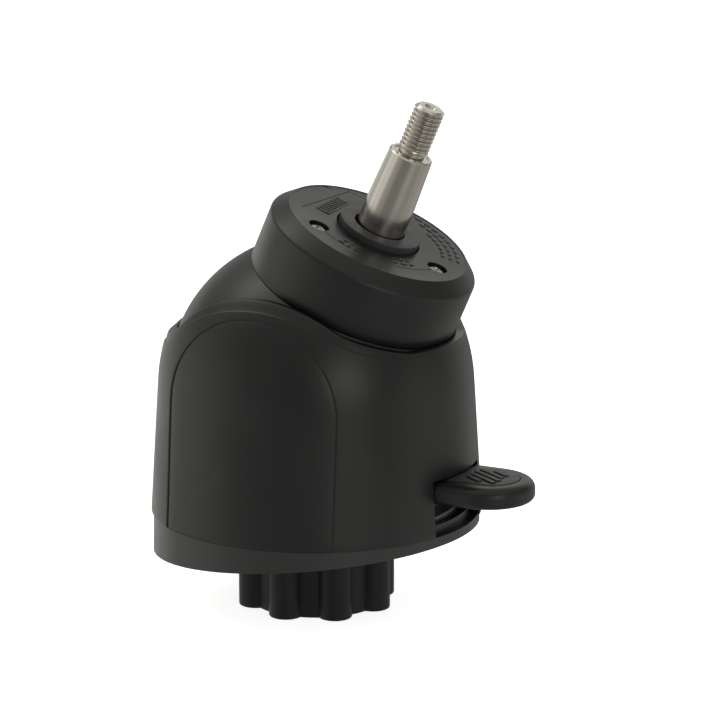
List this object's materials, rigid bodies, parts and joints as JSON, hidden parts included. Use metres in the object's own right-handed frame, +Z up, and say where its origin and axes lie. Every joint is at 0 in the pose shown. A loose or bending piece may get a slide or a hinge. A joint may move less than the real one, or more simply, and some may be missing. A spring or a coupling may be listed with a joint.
{
  "type": "boat steering tilt head",
  "caption": "Tilting steering head with a tapered wheel shaft, a release lever, a round dash ring and a lobed pump spigot.",
  "frame": {"origin": "where the column axis crosses the dash face of the base ring", "axes": "+Z up the column axis, away from the pump spigot; +X towards the release lever; Y along the tilt axis"},
  "size_m": [0.16, 0.1328, 0.2044],
  "materials": {
    "ring_plastic": "fine satin, a little glossier than the housing",
    "spigot_plastic": "dull black",
    "housing_plastic": "fine matt moulded texture",
    "rubber": "matt",
    "cast_alloy": "as cast, satin",
    "bronze": "turned",
    "stainless": "turned and brushed",
    "steel": "zinc plated"
  },
  "bodies": {
    "base": {"mounting_ring": "ring_plastic", "lobed_spigot": "spigot_plastic", "threaded_inserts": "bronze", "base_frame": "cast_alloy", "output_bush": "bronze", "tilt_pins": "steel", "lever_pin": "steel", "lever_pin_clips": "steel", "housing_cover": "housing_plastic", "side_panel_left": "housing_plastic", "side_panel_right": "housing_plastic", "frame_screws": "steel", "cover_screws": "steel", "output_washer": "steel"},
    "head": {"tilt_frame": "cast_alloy", "tilt_bushes": "bronze", "dome": "housing_plastic", "head_cap": "housing_plastic", "dust_collar": "rubber", "lock_sectors": "steel", "sector_spacers": "steel", "cap_screws": "steel", "dome_screws": "steel", "lower_outer_race": "steel", "upper_outer_race": "steel", "outer_spacer": "steel", "tube_circlip": "steel"},
    "shaft": {"steering_shaft": "stainless", "cross_pin": "steel", "drive_rollers": "steel", "lower_inner_race": "steel", "upper_inner_race": "steel", "inner_spacer": "steel", "shaft_circlip": "steel"},
    "ball_sets": {"lower_balls": "steel", "upper_balls": "steel"},
    "output": {"output_shaft": "steel", "output_circlip": "steel"},
    "lever": {"release_lever": "housing_plastic", "lever_pad": "rubber", "lock_pawl": "steel", "pawl_screws": "steel", "lever_spring": "steel"}
  },
  "joints": [
    {"name": "head_tilt", "type": "hinge", "parent": "base", "child": "head", "pos_m": [0, 0, 0.062], "axis": [0, 1, 0], "range_deg": [-48, 0]},
    {"name": "shaft_spin", "type": "hinge", "parent": "head", "child": "shaft", "pos_m": [0, 0, 0.062], "axis": [0.4067, 0, 0.9135], "continuous": true},
    {"name": "ball_spin", "type": "hinge", "parent": "head", "child": "ball_sets", "pos_m": [0, 0, 0.062], "axis": [0.4067, 0, 0.9135], "continuous": true},
    {"name": "output_spin", "type": "hinge", "parent": "base", "child": "output", "pos_m": [0, 0, 0], "axis": [0, 0, 1], "continuous": true},
    {"name": "lever_release", "type": "hinge", "parent": "base", "child": "lever", "pos_m": [0.0243, 0, 0.027], "axis": [0, 1, 0], "range_deg": [0, 10], "stiffness_Nm_per_rad": 0.8, "springref_deg": -20.05}
  ],
  "couplings": [
    {"joint": "ball_spin", "follows": "shaft_spin", "ratio": 0.397},
    {"joint": "output_spin", "follows": "shaft_spin", "ratio": 1}
  ]
}
